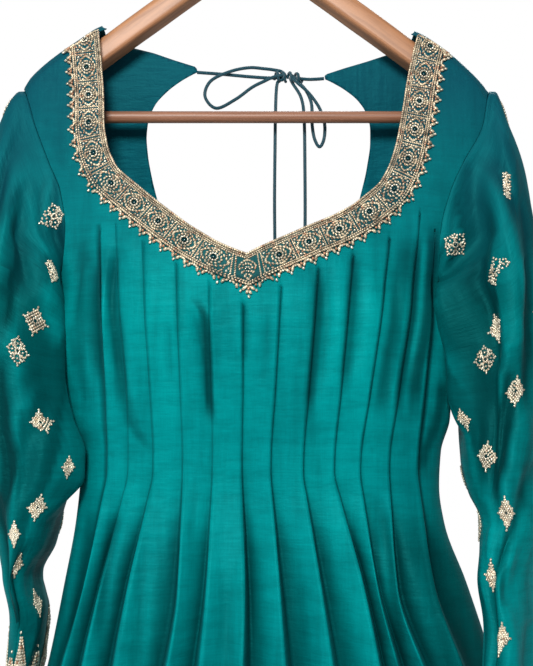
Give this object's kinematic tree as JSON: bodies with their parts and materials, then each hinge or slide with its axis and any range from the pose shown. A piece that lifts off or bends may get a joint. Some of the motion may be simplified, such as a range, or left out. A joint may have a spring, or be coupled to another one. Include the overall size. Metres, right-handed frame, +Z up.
{
  "type": "anarkali gown on a hanger",
  "caption": "Full-length pleated silk anarkali gown with full sleeves, a deep embroidered neckline and an open tied back, on a wooden hanger.",
  "frame": {"origin": "the highest point inside the hanger's hook, where a rail carries it", "axes": "+Z up, +X to the right of someone looking at the front, -Y out of the gown's front"},
  "size_m": [0.764, 0.4074, 1.4791],
  "materials": {
    "silk": "slubbed silk with a soft sheen",
    "embroidery": "gold thread and beads on silk",
    "cord": "silk cord",
    "wood": "satin varnish",
    "steel": "satin"
  },
  "bodies": {
    "root": {"front": "silk", "back": "silk", "sleeve_left": "silk", "sleeve_right": "silk", "neck_border": "embroidery", "cuff_border_left": "embroidery", "cuff_border_right": "embroidery", "tie_left": "cord", "tie_right": "cord", "bow_knot": "cord", "loop_left": "cord", "loop_right": "cord", "end_left": "cord", "end_right": "cord", "hanger_arms": "wood", "hanger_bar": "wood", "hook_collar": "steel", "hanger_hook": "steel"}
  },
  "joints": []
}
